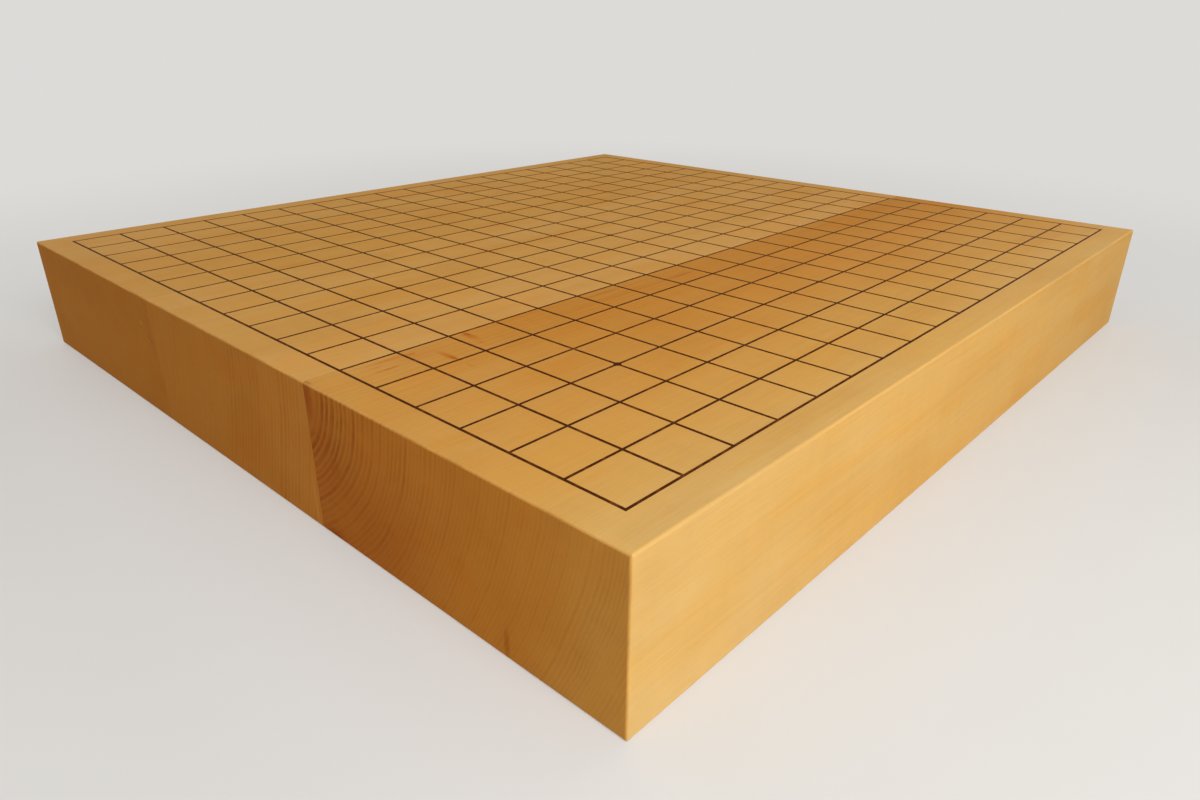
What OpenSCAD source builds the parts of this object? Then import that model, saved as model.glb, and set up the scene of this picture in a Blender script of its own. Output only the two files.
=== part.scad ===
// Table go board: three planks glued side by side, with a grid of lacquer strokes laid on top.
// The origin is the centre of the underside. X runs across the board, Y along it and Z up.

/* [Grid] */
// Spacing of the lengthwise lines, across the board
pitch_across = 22; // [18:0.1:26]
// Spacing of the crosswise lines, along the board
pitch_along = 23.7; // [18:0.1:28]
// Wood between a side border line's centre and the side of the board
side_margin = 14.1; // [8:0.05:30]
// Wood between an end border line's centre and the end of the board
end_margin = 13.95; // [8:0.05:30]

/* [Wood] */
// Thickness of the planks
board_t = 58; // [15:0.5:210]
// Radius that the outer edges are eased to
edge_r = 1; // [0.3:0.1:5]
// Line, counted in from a side border, that the nearer glued joint lies under
joint_line = 7; // [3:1:9]
// Thickness of the glue in a joint
glue_t = 0.1; // [0.05:0.05:0.5]

/* [Lacquer] */
// Width of a line
line_w = 1; // [0.5:0.1:1.8]
// Thickness of the lengthwise strokes at their crown: these are laid first
stroke_t = 0.08; // [0.06:0.01:0.3]
// Rise of a stroke's crown above its edges
stroke_crown = 0.02; // [0.02:0.01:0.05]
// Least lacquer that a later stroke or dot keeps above the one that it covers
lap_t = 0.03; // [0.02:0.01:0.15]
// Diameter of a star point
star_d = 2.8; // [2.2:0.1:6]
// Rise of a star point's crown above its rim
star_crown = 0.06; // [0.04:0.01:0.2]

/* [Hidden] */
$fn = 256;
// The game has nineteen lines each way, and its star points lie on the fourth, tenth and sixteenth
lines = 19;
star_lines = [4, 10, 16];
star_steps = [0 : len(star_lines) - 1];
middle_line = (lines + 1) / 2;
// A cutting block reaches this far past the wood
cut_over = 5;

board_w = (lines - 1) * pitch_across + 2 * side_margin;
board_l = (lines - 1) * pitch_along + 2 * end_margin;
joint_x = (middle_line - joint_line) * pitch_across;

// Border strokes run out to each other's outer edges, so that the grid's corners are square
lengthwise_l = (lines - 1) * pitch_along + line_w;
crosswise_l = (lines - 1) * pitch_across + line_w;
crosswise_t = stroke_t + lap_t + stroke_crown;
star_t = crosswise_t + lap_t + star_crown;

light_wood = [0.80, 0.60, 0.33];
pale_wood = [0.82, 0.63, 0.37];
warm_wood = [0.78, 0.55, 0.28];
glue_colour = [0.45, 0.27, 0.12];
lacquer_colour = [0.29, 0.15, 0.07];

function two_digits(number) = str(number < 10 ? "0" : "", number);
function lengthwise_name(line) = str("lengthwise_line_", two_digits(line));
function crosswise_name(line) = str("crosswise_line_", two_digits(line));
function star_name(column, row) = str("star_point_", len(star_lines) * row + column + 1);

// Place of a line, counted from the left border or the front border
function line_x(line) = (line - middle_line) * pitch_across;
function line_y(line) = (line - middle_line) * pitch_along;

// Rectangle about the origin with its corners rounded to the easing radius
module eased_rectangle(width, height) {
    square([width - 2 * edge_r, height], center = true);
    square([width, height - 2 * edge_r], center = true);
    for (x = [-1, 1], y = [-1, 1]) {
        translate([x * (width / 2 - edge_r), y * (height / 2 - edge_r)]) circle(edge_r);
    }
}

// The slab's three outlines as bars, each seen along the axis that its name gives
module plan_bar() {
    linear_extrude(board_t) eased_rectangle(board_w, board_l);
}

module end_bar() {
    translate([0, board_l / 2, board_t / 2]) rotate([90, 0, 0])
        linear_extrude(board_l) eased_rectangle(board_w, board_t);
}

module side_bar() {
    translate([-board_w / 2, 0, board_t / 2]) rotate([90, 0, 90])
        linear_extrude(board_w) eased_rectangle(board_l, board_t);
}

// The eased slab between two places across the board
module slab_between(x_from, x_to) {
    intersection() {
        plan_bar();
        end_bar();
        side_bar();
        translate([x_from, -board_l / 2 - cut_over, -cut_over])
            cube([x_to - x_from, board_l + 2 * cut_over, board_t + 2 * cut_over]);
    }
}

module left_plank() {
    color(light_wood) slab_between(-board_w / 2 - cut_over, -joint_x - glue_t / 2);
}

module middle_plank() {
    color(pale_wood) slab_between(-joint_x + glue_t / 2, joint_x - glue_t / 2);
}

module right_plank() {
    color(warm_wood) slab_between(joint_x + glue_t / 2, board_w / 2 + cut_over);
}

module glue_left() {
    color(glue_colour) slab_between(-joint_x - glue_t / 2, -joint_x + glue_t / 2);
}

module glue_right() {
    color(glue_colour) slab_between(joint_x - glue_t / 2, joint_x + glue_t / 2);
}

// Section of a bead of lacquer standing on the wood, with a round crown between upright edges
module bead_section(width, thickness, crown) {
    crown_r = (pow(width / 2, 2) + pow(crown, 2)) / (2 * crown);
    intersection() {
        translate([-width / 2, 0]) square([width, thickness]);
        translate([0, thickness - crown_r]) circle(crown_r);
    }
}

module lengthwise_stroke(line) {
    translate([line_x(line), lengthwise_l / 2, board_t]) rotate([90, 0, 0])
        linear_extrude(lengthwise_l) bead_section(line_w, stroke_t, stroke_crown);
}

module crosswise_stroke(line) {
    translate([-crosswise_l / 2, line_y(line), board_t]) rotate([90, 0, 90])
        linear_extrude(crosswise_l) bead_section(line_w, crosswise_t, stroke_crown);
}

module lengthwise_line(line) {
    color(lacquer_colour) lengthwise_stroke(line);
}

// A crosswise line is laid over the lengthwise ones, so its underside takes their shape
module crosswise_line(line) {
    color(lacquer_colour) difference() {
        crosswise_stroke(line);
        for (crossed = [1 : lines]) lengthwise_stroke(crossed);
    }
}

// A star point is a drop set last of all, so it moulds itself over the crossing
module star_point(across, along) {
    color(lacquer_colour) difference() {
        translate([line_x(across), line_y(along), board_t]) rotate_extrude() intersection() {
            bead_section(star_d, star_t, star_crown);
            square([star_d, star_t]);
        }
        lengthwise_stroke(across);
        crosswise_stroke(along);
    }
}

left_plank();
middle_plank();
right_plank();
glue_left();
glue_right();
for (line = [1 : lines]) {
    lengthwise_line(line);
    crosswise_line(line);
}
for (row = star_steps, column = star_steps) {
    star_point(star_lines[column], star_lines[row]);
}
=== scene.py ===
"""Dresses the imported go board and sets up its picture.

Each plank is a solid piece of wood with growth rings of its own, the grid is satin lacquer, and the
light is that of a plain studio.
"""
import math

import bpy
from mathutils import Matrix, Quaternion, Vector


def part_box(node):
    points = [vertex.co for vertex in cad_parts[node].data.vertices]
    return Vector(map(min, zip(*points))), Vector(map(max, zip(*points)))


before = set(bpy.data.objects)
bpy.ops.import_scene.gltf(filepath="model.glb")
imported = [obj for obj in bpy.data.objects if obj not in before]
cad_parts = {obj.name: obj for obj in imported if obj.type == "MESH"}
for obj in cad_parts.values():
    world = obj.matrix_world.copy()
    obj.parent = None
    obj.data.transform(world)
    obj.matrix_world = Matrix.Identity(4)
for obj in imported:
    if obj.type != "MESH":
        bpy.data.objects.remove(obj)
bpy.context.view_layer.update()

MM_PER_METRE = 1000.0

# The camera stands where the photograph was taken from, with the board's near corner below the middle
CAMERA_PLACE = Vector((0.3150, -0.3506, 0.1703))
CAMERA_AIM = Vector((0.1483, -0.1690, 0.0580))
CAMERA_ROLL = math.radians(0.43)
CAMERA_LENS = 25.23
SENSOR_WIDTH = 36.0

# Lamps: place, aim, width in metres, power in watts
LAMPS = {
    "key_lamp": ((0.78, -0.36, 0.55), (0.08, -0.08, 0.03), 0.5, 5.8),
    "left_lamp": ((-1.10, -0.20, 0.60), (0.0, 0.0, 0.03), 0.8, 2.8),
    "back_lamp": ((0.20, 1.10, 0.60), (0.0, 0.0, 0.03), 0.8, 2.6),
}
SKY_STRENGTH = 0.37
BACKDROP = 0.72

# The floor, in metres, and how it fades into the backdrop: from the least share of it to all of it,
# between two distances from the middle of the board in millimetres
FLOOR_SIZE = 40.0
FADE_START = 250.0
FADE_END = 900.0
FADE_LEAST = 0.35

# The curve between a colour as it is seen and as a shader takes it
SRGB_WHITE = 255
SRGB_KNEE = 0.04045
SRGB_SLOPE = 12.92
SRGB_OFFSET = 0.055
SRGB_POWER = 2.4


def srgb(red, green, blue):
    """A colour given in 0 to 255 as seen, as the linear colour that a shader takes."""
    def linear(value):
        share = value / SRGB_WHITE
        if share <= SRGB_KNEE:
            return share / SRGB_SLOPE
        return ((share + SRGB_OFFSET) / (1 + SRGB_OFFSET)) ** SRGB_POWER
    return (linear(red), linear(green), linear(blue), 1.0)


# Tints multiply the wood's colour
LATE_SIDE_TINT = (0.96, 0.89, 0.74, 1.0)
LATE_END_TINT = (0.60, 0.41, 0.22, 1.0)
STREAK_TINT = (0.97, 0.89, 0.72, 1.0)
MOTTLE_TINT = (0.99, 0.94, 0.82, 1.0)
PATCH_TINT = (0.97, 0.93, 0.85, 1.0)
PORE_TINT = (0.86, 0.74, 0.56, 1.0)
END_TINT = (0.78, 0.58, 0.32, 1.0)
DEEP_TINT = (0.91, 0.78, 0.53, 1.0)
PALE_TINT = (1.0, 1.10, 1.36, 1.0)

# Colours
AMBER = srgb(188, 106, 28)
RESIN = srgb(136, 58, 8)
RED_HEART = srgb(148, 66, 16)
# Pale wood colour: painted on the eased edges as a painted highlight with some wear, and used for small
# pale marks
PALE_WOOD_AND_HIGHLIGHT = srgb(234, 186, 108)
LACQUER = srgb(74, 36, 9)
LACQUER_THIN = srgb(112, 62, 22)
GLUE = srgb(112, 66, 28)
GLUE_DARK = srgb(78, 42, 18)
FLOOR = srgb(232, 230, 226)
FLOOR_SHADE = srgb(226, 224, 220)
BACKDROP_COLOUR = (1.0, 0.985, 0.96, 1.0)

# Where marks on the wood have their middles, in millimetres: just inside the front end, and on the top
FRONT = -227.0
TOP = 58.0

# The planks, in millimetres. The pith is where the centre of the growth rings meets the front end, given
# across and up, and it runs sideways and up by these shares of the way along the board. The rings lean
# sideways as they go up, and more growth sets them wider apart. The wood starts with the heart's colour
# and turns to each zone's colour between two distances from the pith. A tone is a tint that comes in
# between two distances along the board and between two from the pith. Each entry of rings multiplies the
# rings' strength by a factor that goes from one value to another between two distances from the pith. A
# mark is a middle, half lengths, a colour and how much of that colour the wood takes.
PLANKS = {
    "left_plank": {
        "pith": (-30.0, 150.0),
        "run": (0.01, 0.02),
        "lean": 0.0,
        "growth": 55.0,
        "heart": srgb(205, 152, 75),
        "zones": [(120.0, 200.0, srgb(208, 157, 83))],
        "tones": [],
        "rings": [(100.0, 160.0, 0.25, 0.15)],
        "marks": [
            ((-69.5, FRONT, 42.0), (5.5, 3.0, 24.0), RED_HEART, 0.15),
            ((-77.5, FRONT, 44.5), (0.7, 8.0, 1.6), PALE_WOOD_AND_HIGHLIGHT, 0.45),
        ],
    },
    "middle_plank": {
        "pith": (-165.0, 54.0),
        "run": (0.02, 0.01),
        "lean": 0.12,
        "growth": 55.0,
        "heart": srgb(208, 156, 82),
        "zones": [(170.0, 225.0, srgb(212, 160, 89))],
        "tones": [],
        "rings": [(155.0, 185.0, 0.15, 0.42)],
        "marks": [((63.0, FRONT, 6.0), (1.5, 3.0, 24.0), PALE_WOOD_AND_HIGHLIGHT, 0.12)],
    },
    "right_plank": {
        "pith": (47.0, 53.0),
        "run": (-0.01, 0.02),
        "lean": 0.17,
        "growth": 27.0,
        "heart": srgb(206, 152, 78),
        "zones": [
            (30.0, 60.0, srgb(208, 153, 78)),
            (85.0, 130.0, srgb(210, 158, 82)),
            (135.0, 170.0, srgb(215, 170, 98)),
        ],
        "tones": [
            (DEEP_TINT, (10.0, 110.0), (150.0, 30.0)),
            (PALE_TINT, (190.0, 10.0), (115.0, 170.0)),
        ],
        "rings": [(24.0, 34.0, 0.6, 1.5), (40.0, 62.0, 1.0, 0.42), (84.0, 112.0, 1.0, 0.45)],
        "marks": [
            ((71.5, -159.8, TOP), (7.5, 3.0, 4.0), AMBER, 0.8),
            ((69.0, -159.2, TOP), (2.8, 1.7, 3.0), RESIN, 0.6),
            ((80.0, -161.0, TOP), (2.6, 2.0, 3.0), AMBER, 0.4),
            ((82.5, -178.5, TOP), (9.0, 2.6, 4.0), AMBER, 0.8),
            ((85.5, -178.5, TOP), (4.0, 1.1, 3.0), RESIN, 0.6),
            ((95.0, -178.6, TOP), (4.5, 0.9, 3.0), AMBER, 0.35),
            ((77.0, -200.5, TOP), (1.0, 7.5, 3.0), AMBER, 0.8),
            ((73.0, -203.0, TOP), (0.8, 5.0, 3.0), AMBER, 0.5),
            ((74.0, -186.0, TOP), (8.0, 16.0, 3.0), AMBER, 0.25),
            ((70.0, -197.0, TOP), (1.7, 14.0, 3.0), AMBER, 0.45),
            ((71.2, -187.0, TOP), (1.6, 3.4, 3.0), AMBER, 0.6),
            ((71.0, -80.0, TOP), (1.6, 64.0, 3.0), RESIN, 0.12),
            ((71.0, -84.0, TOP), (1.5, 15.0, 3.0), RESIN, 0.2),
            ((78.5, -75.0, TOP), (2.0, 66.0, 3.0), RESIN, 0.12),
            ((78.2, -37.0, TOP), (2.0, 19.0, 3.0), RESIN, 0.24),
            ((67.5, FRONT, 53.0), (4.6, 2.4, 12.0), RED_HEART, 0.7),
            ((68.0, FRONT, 47.0), (18.0, 2.4, 21.0), RED_HEART, 0.26),
            ((80.0, FRONT, 30.0), (5.0, 9.0, 6.0), RED_HEART, 0.3),
            ((74.0, FRONT, 0.0), (11.0, 9.0, 5.0), RED_HEART, 0.8),
            ((166.0, FRONT, 5.0), (1.8, 8.0, 9.0), RED_HEART, 0.5),
            ((86.0, FRONT, 14.0), (75.0, 9.0, 48.0), RED_HEART, 0.34),
        ],
    },
}

# Below, a size or reach is in millimetres, and three sizes are across the board, along the grain and up.
# A step is where a change starts and ends, and then what it goes between, where that isn't 0 and 1. More
# detail gives a noise finer parts
NOISE_MIDDLE = (0.5, 0.5, 0.5)
PLAIN_DETAIL = 1.0
SOME_DETAIL = 2.0
FINE_DETAIL = 3.0

# Growth rings: how the pith wanders, and how the years differ in width and darkness
SWAY_SIZE = (60.0, 420.0, 60.0)
SWAY_REACH = 2.6
WAVER_SIZE = (7.0, 120.0, 7.0)
WAVER_REACH = 0.5
GROWTH_POWER = 1.5
YEAR_DRIFT_SIZE = 11.0
YEAR_DRIFT = 1.4
SEASON_DARKENS = (0.1, 0.6)
SEASON_ENDS = (1.0, 0.84)
YEAR_LEAST = 0.3
YEAR_SPAN = 0.7
SPELL_SIZE = 16.0
SPELL_STEP = (0.3, 0.7, 0.55, 1.0)
RING_PATCH_SIZE = (8.0, 90.0, 8.0)
RING_PATCH_STEP = (0.3, 0.65, 0.5, 1.0)

# Faces, told apart by how much of their normal points along an axis
END_GRAIN_STEP = (0.35, 0.95)
EDGE_STEP = (0.995, 0.85)

# Grain between the rings
MOTTLE_SIZE = (14.0, 60.0, 14.0)
MOTTLE_STEP = (0.4, 0.65)
MOTTLE_SWING = 0.05
FIBRE_SIZE = (0.45, 28.0, 0.45)
FIBRE_SWING = 0.075
RIPPLE_SIZE = (24.0, 6.0, 24.0)
RIPPLE_SWING = 0.03
STREAK_SIZE = (3.2, 200.0, 3.2)
STREAK_STEP = (0.48, 0.72)
STREAK_SHARE = 0.30
STREAK_SIDE_SHARE = 0.05
STREAK_HEART_STEP = (60.0, 15.0, 1.0, 2.0)
PATCH_SIZE = (32.0, 80.0, 32.0)
PATCH_STEP = (0.45, 0.7)
PORE_SIZE = (0.22, 4.5, 0.22)
PORE_STEP = (0.6, 0.78, 0.0, 0.38)

# Rims of zones and marks, and edges painted paler, mostly as a painted highlight with some wear
ZONE_RIM_REACH = 15.0
MARK_RIM_SIZE = (2.0, 2.0, 2.0)
MARK_RIM_REACH = 0.9
MARK_STEP = (1.0, 0.1)
HIGHLIGHT_AND_WEAR_STEP = (0.3, 0.7, 0.12, 0.4)

# Waxed finish of the wood. Depths of relief are in metres
WOOD_ROUGHNESS = 0.42
FIBRE_ROUGHNESS = 0.16
END_ROUGHNESS = 0.12
LATE_RELIEF = 0.6
WOOD_DEPTH = 0.00003
WOOD_RELIEF = 0.3
WOOD_SPECULAR = 0.003
WAX_WEIGHT = 0.05
WAX_ROUGHNESS = 0.35

# Lacquer
THIN_SIZE = (3.0, 3.0, 3.0)
THIN_STEP = (0.45, 0.75)
FLOW_SIZE = (0.7, 0.7, 0.7)
LACQUER_ROUGHNESS = 0.38
FLOW_ROUGHNESS = 0.25
LACQUER_DEPTH = 0.00003
LACQUER_RELIEF = 0.4
LACQUER_SPECULAR = 0.003
SHEEN_WEIGHT = 0.04
SHEEN_ROUGHNESS = 0.3

# Glue
SOAK_SIZE = (4.0, 9.0, 4.0)
SOAK_STEP = (0.35, 0.7)
GLUE_ROUGHNESS = 0.45
SOAK_ROUGHNESS = 0.2
GLUE_DEPTH = 0.00002
GLUE_RELIEF = 0.3
GLUE_SPECULAR = 0.1

# Floor paper
CLOUD_SIZE = (120.0, 120.0, 120.0)
FLOOR_ROUGHNESS = 0.9
FLOOR_SPECULAR = 0.1

# Sockets of a mix node, by number because some share a name: its share, its two colours and its result
MIX_SHARE = 0
MIX_FIRST = 6
MIX_SECOND = 7
MIX_RESULT = 2


class Graph:
    """A tree of shader nodes.

    Each method adds a node and returns its output, and takes outputs of other nodes or plain values.
    """

    def __init__(self, tree):
        self.nodes = tree.nodes
        self.links = tree.links

    def feed(self, socket, value):
        if isinstance(value, bpy.types.NodeSocket):
            self.links.new(value, socket)
        else:
            socket.default_value = value

    def add(self, kind, inputs, output=0, **settings):
        node = self.nodes.new(kind)
        for name, value in settings.items():
            setattr(node, name, value)
        for socket, value in inputs.items():
            self.feed(node.inputs[socket], value)
        return node.outputs[output]

    def math(self, operation, *values):
        return self.add("ShaderNodeMath", dict(enumerate(values)), operation=operation)

    def product(self, first, *others):
        for other in others:
            first = self.math("MULTIPLY", first, other)
        return first

    def vector(self, operation, *values, output=0):
        return self.add("ShaderNodeVectorMath", dict(enumerate(values)), output, operation=operation)

    def scaled(self, vector, amount):
        return self.add("ShaderNodeVectorMath", {0: vector, "Scale": amount}, operation="SCALE")

    def length(self, vector):
        return self.vector("LENGTH", vector, output="Value")

    def split(self, vector):
        return self.add("ShaderNodeSeparateXYZ", {"Vector": vector}).node.outputs

    def joined(self, x, y, z):
        return self.add("ShaderNodeCombineXYZ", {"X": x, "Y": y, "Z": z})

    def millimetres(self):
        """Where a place is in the CAD frame, in millimetres."""
        place = self.add("ShaderNodeTexCoord", {}, "Object")
        return self.scaled(place, MM_PER_METRE)

    def noise(self, place, size, detail=PLAIN_DETAIL, output=0):
        inputs = {"Vector": self.vector("DIVIDE", place, size), "Scale": 1.0, "Detail": detail}
        return self.add("ShaderNodeTexNoise", inputs, output)

    def noise_along(self, value, size):
        inputs = {"W": self.math("DIVIDE", value, size), "Scale": 1.0, "Detail": PLAIN_DETAIL}
        return self.add("ShaderNodeTexNoise", inputs, noise_dimensions="1D")

    def drift(self, place, size, reach, detail=PLAIN_DETAIL):
        """How far a place is moved, by up to the reach and smoothly over the size."""
        moves = self.vector("SUBTRACT", self.noise(place, size, detail, "Color"), NOISE_MIDDLE)
        return self.scaled(moves, 2 * reach)

    def step(self, value, start, end, low=0.0, high=1.0):
        """A smooth change from low to high while the value goes from the start to the end."""
        inputs = {"Value": value, "From Min": start, "From Max": end, "To Min": low, "To Max": high}
        return self.add("ShaderNodeMapRange", inputs, interpolation_type="SMOOTHSTEP")

    def mix(self, share, first, second, blend="MIX"):
        inputs = {MIX_SHARE: share, MIX_FIRST: first, MIX_SECOND: second}
        return self.add("ShaderNodeMix", inputs, MIX_RESULT, data_type="RGBA", blend_type=blend)

    def tinted(self, share, colour, tint):
        return self.mix(share, colour, tint, "MULTIPLY")

    def swing(self, value, reach):
        """A noise value as a factor about 1."""
        return self.math("MULTIPLY_ADD", value, 2 * reach, 1 - reach)

    def bump(self, height, depth, strength):
        return self.add("ShaderNodeBump", {"Height": height, "Distance": depth, "Strength": strength})

    def backdrop_rays(self):
        """1 for what the camera sees, straight, mirrored or through glass, and 0 for other light."""
        rays = self.nodes.new("ShaderNodeLightPath").outputs
        mirrored = self.math("MAXIMUM", rays["Is Glossy Ray"], rays["Is Transmission Ray"])
        return self.math("MAXIMUM", rays["Is Camera Ray"], mirrored)


def new_material(name):
    material = bpy.data.materials.new(name)
    material.use_nodes = True
    return material, Graph(material.node_tree), material.node_tree.nodes["Principled BSDF"].inputs


def from_pith(g, place, front_y, facts):
    """How far a place is along the board and from the pith, which is never quite straight."""
    moved = g.vector("ADD", place, g.drift(place, SWAY_SIZE, SWAY_REACH))
    moved = g.vector("ADD", moved, g.drift(place, WAVER_SIZE, WAVER_REACH, SOME_DETAIL))
    x, y, z = g.split(moved)
    along = g.math("SUBTRACT", y, front_y)
    pith_x = g.math("MULTIPLY_ADD", along, facts["run"][0], facts["pith"][0])
    pith_z = g.math("MULTIPLY_ADD", along, facts["run"][1], facts["pith"][1])
    across = g.math("SUBTRACT", x, pith_x)
    up = g.math("SUBTRACT", z, pith_z)
    upright = g.math("MULTIPLY_ADD", up, -facts["lean"], across)
    return along, g.length(g.joined(upright, 0.0, up))


def late_wood(g, place, radius, facts):
    """How much a place has of the dark wood that ends each year's growth."""
    years = g.math("DIVIDE", g.math("POWER", radius, GROWTH_POWER), facts["growth"])
    years = g.math("MULTIPLY_ADD", g.noise_along(radius, YEAR_DRIFT_SIZE), YEAR_DRIFT, years)
    season = g.math("FRACT", years)
    year = g.add("ShaderNodeTexWhiteNoise", {"W": g.math("FLOOR", years)}, noise_dimensions="1D")
    return g.product(
        g.step(season, *SEASON_DARKENS),
        g.step(season, *SEASON_ENDS),
        g.math("MULTIPLY_ADD", year, YEAR_SPAN, YEAR_LEAST),
        g.step(g.noise_along(radius, SPELL_SIZE), *SPELL_STEP),
        g.step(g.noise(place, RING_PATCH_SIZE, SOME_DETAIL), *RING_PATCH_STEP),
        *[g.step(radius, *change) for change in facts["rings"]],
    )


def facing(g):
    """How much a face looks sideways, how much it is end grain and how much an eased edge."""
    normal = g.vector("ABSOLUTE", g.add("ShaderNodeNewGeometry", {}, "Normal"))
    sideways, endways, upwards = g.split(normal)
    most = g.math("MAXIMUM", sideways, g.math("MAXIMUM", endways, upwards))
    return sideways, g.step(endways, *END_GRAIN_STEP), g.step(most, *EDGE_STEP)


def zone_colour(g, along, radius, facts):
    """The wood's colour from the heart outwards, with its tones."""
    colour = facts["heart"]
    for start, end, zone in facts["zones"]:
        colour = g.mix(g.step(radius, start, end), colour, zone)
    for tint, along_range, radius_range in facts["tones"]:
        share = g.product(g.step(along, *along_range), g.step(radius, *radius_range))
        colour = g.tinted(share, colour, tint)
    return colour


def with_marks(g, place, colour, marks):
    """The colour with its marks, which have ragged rims."""
    ragged = g.vector("ADD", place, g.drift(place, MARK_RIM_SIZE, MARK_RIM_REACH, SOME_DETAIL))
    for middle, half, shade, amount in marks:
        reach = g.vector("DIVIDE", g.vector("SUBTRACT", ragged, middle), half)
        share = g.step(g.length(reach), *MARK_STEP, 0.0, amount)
        colour = g.mix(share, colour, shade)
    return colour


def wood(plank):
    """Wood of one plank as a solid: growth rings about its pith, cut by whichever face shows them."""
    facts = PLANKS[plank]
    material, g, shader = new_material(plank + "_wood")
    place = g.millimetres()
    front_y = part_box(plank)[0].y * MM_PER_METRE
    along, radius = from_pith(g, place, front_y, facts)
    late = late_wood(g, place, radius, facts)
    sideways, end_grain, edge = facing(g)
    mottle = g.noise(place, MOTTLE_SIZE, SOME_DETAIL)
    fibre = g.noise(place, FIBRE_SIZE, SOME_DETAIL)
    streak = g.noise(place, STREAK_SIZE, SOME_DETAIL)
    pores = g.step(g.noise(place, PORE_SIZE), *PORE_STEP)

    # Zones and rings
    rim = g.math("MULTIPLY_ADD", mottle, 2 * ZONE_RIM_REACH, -ZONE_RIM_REACH)
    ragged_radius = g.math("ADD", radius, rim)
    colour = zone_colour(g, along, ragged_radius, facts)
    colour = g.tinted(late, colour, g.mix(end_grain, LATE_SIDE_TINT, LATE_END_TINT))

    # Warm streaks, broad patches, pores and fibres, then end grain, which soaks up more wax
    streak_share = g.product(
        g.step(streak, *STREAK_STEP),
        g.math("MULTIPLY_ADD", sideways, STREAK_SIDE_SHARE, STREAK_SHARE),
        g.step(ragged_radius, *STREAK_HEART_STEP),
    )
    colour = g.tinted(streak_share, colour, STREAK_TINT)
    colour = g.tinted(g.step(mottle, *MOTTLE_STEP), colour, MOTTLE_TINT)
    colour = g.tinted(g.step(g.noise(place, PATCH_SIZE), *PATCH_STEP), colour, PATCH_TINT)
    colour = g.tinted(pores, colour, PORE_TINT)
    tone = g.product(
        g.swing(fibre, FIBRE_SWING),
        g.swing(mottle, MOTTLE_SWING),
        g.swing(g.noise(place, RIPPLE_SIZE), RIPPLE_SWING),
    )
    colour = g.tinted(end_grain, g.scaled(colour, tone), END_TINT)

    # Marks, and edges painted paler: mostly a painted highlight on the eased arrises, with some wear
    # from hands
    colour = with_marks(g, place, colour, facts["marks"])
    highlit_and_worn = g.product(edge, g.step(mottle, *HIGHLIGHT_AND_WEAR_STEP))
    colour = g.mix(highlit_and_worn, colour, PALE_WOOD_AND_HIGHLIGHT)

    rough = g.math("MULTIPLY_ADD", fibre, FIBRE_ROUGHNESS, WOOD_ROUGHNESS)
    rough = g.math("MULTIPLY_ADD", end_grain, END_ROUGHNESS, rough)
    relief = g.math("SUBTRACT", g.math("MULTIPLY_ADD", late, LATE_RELIEF, fibre), pores)
    g.feed(shader["Base Color"], colour)
    g.feed(shader["Roughness"], rough)
    g.feed(shader["Normal"], g.bump(relief, WOOD_DEPTH, WOOD_RELIEF))
    shader["Specular IOR Level"].default_value = WOOD_SPECULAR
    shader["Coat Weight"].default_value = WAX_WEIGHT
    shader["Coat Roughness"].default_value = WAX_ROUGHNESS
    return material


def lacquer():
    """Dark brown lacquer, a little thin in places, with a soft brushed sheen."""
    material, g, shader = new_material("line_lacquer")
    place = g.millimetres()
    thin = g.step(g.noise(place, THIN_SIZE, FINE_DETAIL), *THIN_STEP)
    flow = g.noise(place, FLOW_SIZE, SOME_DETAIL)
    g.feed(shader["Base Color"], g.mix(thin, LACQUER, LACQUER_THIN))
    g.feed(shader["Roughness"], g.math("MULTIPLY_ADD", flow, FLOW_ROUGHNESS, LACQUER_ROUGHNESS))
    g.feed(shader["Normal"], g.bump(flow, LACQUER_DEPTH, LACQUER_RELIEF))
    shader["Specular IOR Level"].default_value = LACQUER_SPECULAR
    shader["Coat Weight"].default_value = SHEEN_WEIGHT
    shader["Coat Roughness"].default_value = SHEEN_ROUGHNESS
    return material


def dried_glue():
    """Dried glue, darker where it has soaked in."""
    material, g, shader = new_material("joint_glue")
    place = g.millimetres()
    soaked = g.step(g.noise(place, SOAK_SIZE, FINE_DETAIL), *SOAK_STEP)
    g.feed(shader["Base Color"], g.mix(soaked, GLUE, GLUE_DARK))
    g.feed(shader["Roughness"], g.math("MULTIPLY_ADD", soaked, SOAK_ROUGHNESS, GLUE_ROUGHNESS))
    g.feed(shader["Normal"], g.bump(soaked, GLUE_DEPTH, GLUE_RELIEF))
    shader["Specular IOR Level"].default_value = GLUE_SPECULAR
    return material


def floor_finish():
    """Pale, even paper that takes the board's shadow and fades into the backdrop further off."""
    material, g, shader = new_material("floor_paper")
    place = g.millimetres()
    cloud = g.noise(place, CLOUD_SIZE, FINE_DETAIL)
    g.feed(shader["Base Color"], g.mix(cloud, FLOOR, FLOOR_SHADE))
    shader["Roughness"].default_value = FLOOR_ROUGHNESS
    shader["Specular IOR Level"].default_value = FLOOR_SPECULAR
    far = g.step(g.length(place), FADE_START, FADE_END, FADE_LEAST)
    glow = g.add("ShaderNodeEmission", {"Color": BACKDROP_COLOUR, "Strength": BACKDROP})
    paper = g.nodes["Principled BSDF"].outputs["BSDF"]
    share = g.product(far, g.backdrop_rays())
    surface = g.add("ShaderNodeMixShader", dict(enumerate([share, paper, glow])))
    g.feed(g.nodes["Material Output"].inputs["Surface"], surface)
    return material


def dress(name, material):
    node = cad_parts[name]
    node.data.materials.clear()
    node.data.materials.append(material)


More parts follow.
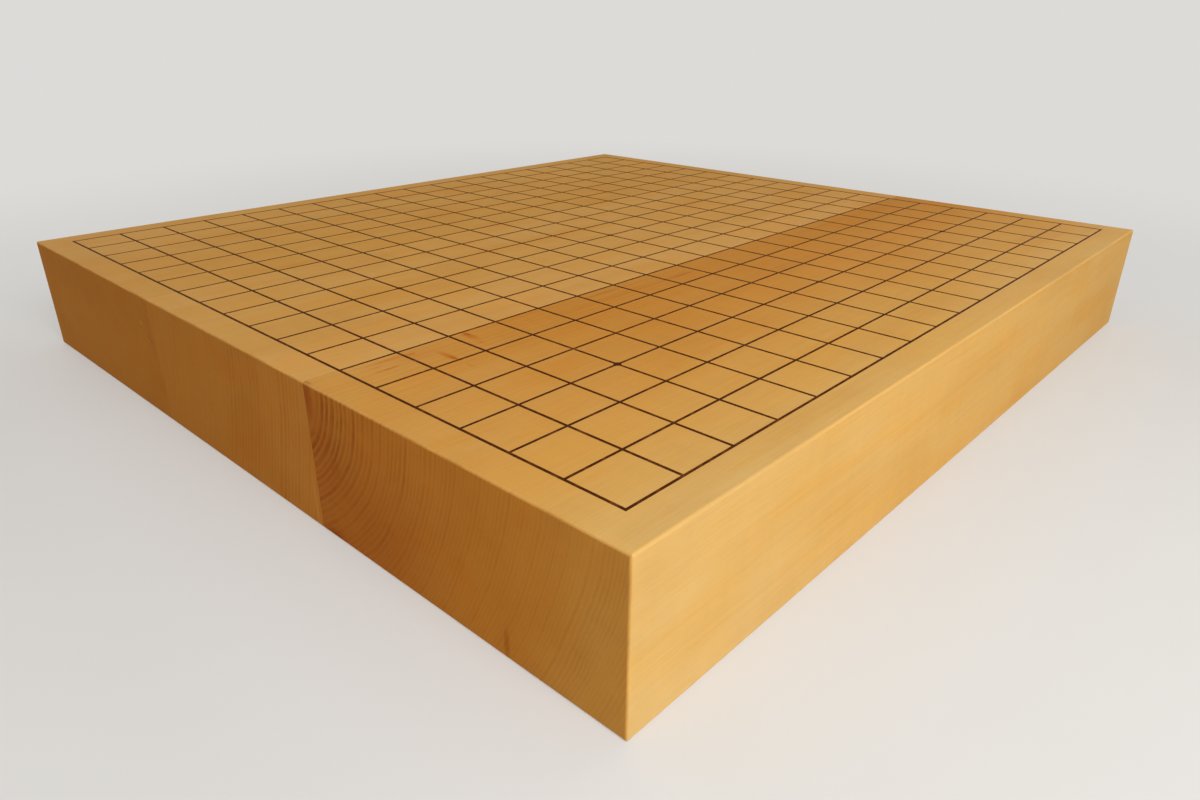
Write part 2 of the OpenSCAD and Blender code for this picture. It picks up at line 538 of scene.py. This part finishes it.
def look_from(place, aim):
    """The rotation of a lamp or camera that stands at the place and looks at the aim."""
    return (Vector(aim) - Vector(place)).to_track_quat("-Z", "Y")


def add_lamp(name, place, aim, width, power):
    light = bpy.data.lights.new(name, "AREA")
    light.shape = "DISK"
    light.size = width
    light.energy = power
    lamp = bpy.data.objects.new(name, light)
    lamp.location = place
    lamp.rotation_mode = "QUATERNION"
    lamp.rotation_quaternion = look_from(place, aim)
    bpy.context.scene.collection.objects.link(lamp)


def add_floor():
    half = FLOOR_SIZE / 2
    corners = [(-half, -half, 0), (half, -half, 0), (half, half, 0), (-half, half, 0)]
    mesh = bpy.data.meshes.new("floor")
    mesh.from_pydata(corners, [], [range(len(corners))])
    floor = bpy.data.objects.new("floor", mesh)
    floor.data.materials.append(floor_finish())
    bpy.context.scene.collection.objects.link(floor)


def add_sky():
    """Even white light from all round, and a pale backdrop for the camera and for reflections."""
    world = bpy.data.worlds.new("studio")
    world.use_nodes = True
    g = Graph(world.node_tree)
    background = g.nodes["Background"].inputs
    background["Color"].default_value = BACKDROP_COLOUR
    levels = {"Value": g.backdrop_rays(), "To Min": SKY_STRENGTH, "To Max": BACKDROP}
    g.feed(background["Strength"], g.add("ShaderNodeMapRange", levels))
    bpy.context.scene.world = world


def add_camera():
    data = bpy.data.cameras.new("camera")
    data.lens = CAMERA_LENS
    data.sensor_width = SENSOR_WIDTH
    camera = bpy.data.objects.new("camera", data)
    camera.location = CAMERA_PLACE
    camera.rotation_mode = "QUATERNION"
    camera.rotation_quaternion = look_from(CAMERA_PLACE, CAMERA_AIM) @ Quaternion((0, 0, 1), CAMERA_ROLL)
    bpy.context.scene.collection.objects.link(camera)
    bpy.context.scene.camera = camera


line_lacquer = lacquer()
joint_glue = dried_glue()
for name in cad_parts:
    if name in PLANKS:
        dress(name, wood(name))
    elif name.startswith("glue"):
        dress(name, joint_glue)
    else:
        dress(name, line_lacquer)

add_floor()
add_sky()
for name, facts in LAMPS.items():
    add_lamp(name, *facts)
add_camera()
bpy.context.scene.view_settings.view_transform = "Standard"
